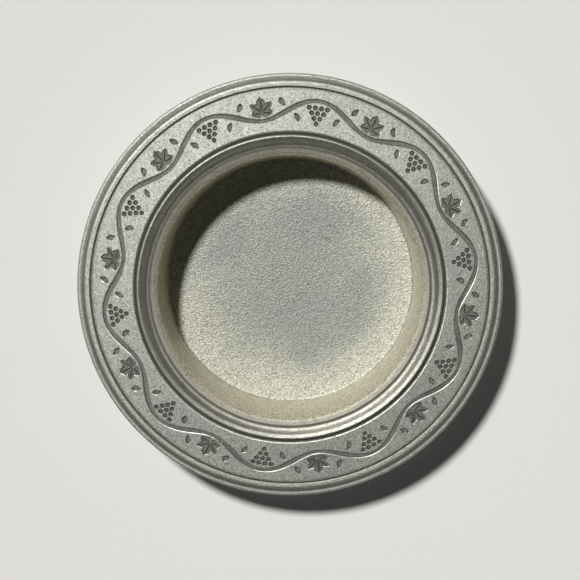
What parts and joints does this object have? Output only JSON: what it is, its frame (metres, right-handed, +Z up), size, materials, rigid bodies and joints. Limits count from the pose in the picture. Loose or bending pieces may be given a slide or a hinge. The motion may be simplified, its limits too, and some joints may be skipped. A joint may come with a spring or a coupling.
{
  "type": "wine bottle coaster",
  "caption": "Round cast-metal dish that holds the foot of a wine bottle in a steep-sided well, with a moulded lip, a broad sloping flange, a rolled edge and a felt underside.",
  "frame": {"origin": "centre of the underside, on the surface that the coaster stands on", "axes": "+Z up along the axis of the dish, +Y towards the top of the picture, +X towards its right"},
  "size_m": [0.152, 0.152, 0.0318],
  "materials": {
    "cast_metal": "sand-cast and tumbled to a soft grey satin, with dark patina left in the grooves",
    "felt": "matt wool felt"
  },
  "bodies": {
    "root": {"cast_dish": "cast_metal", "base_felt": "felt"}
  },
  "joints": []
}
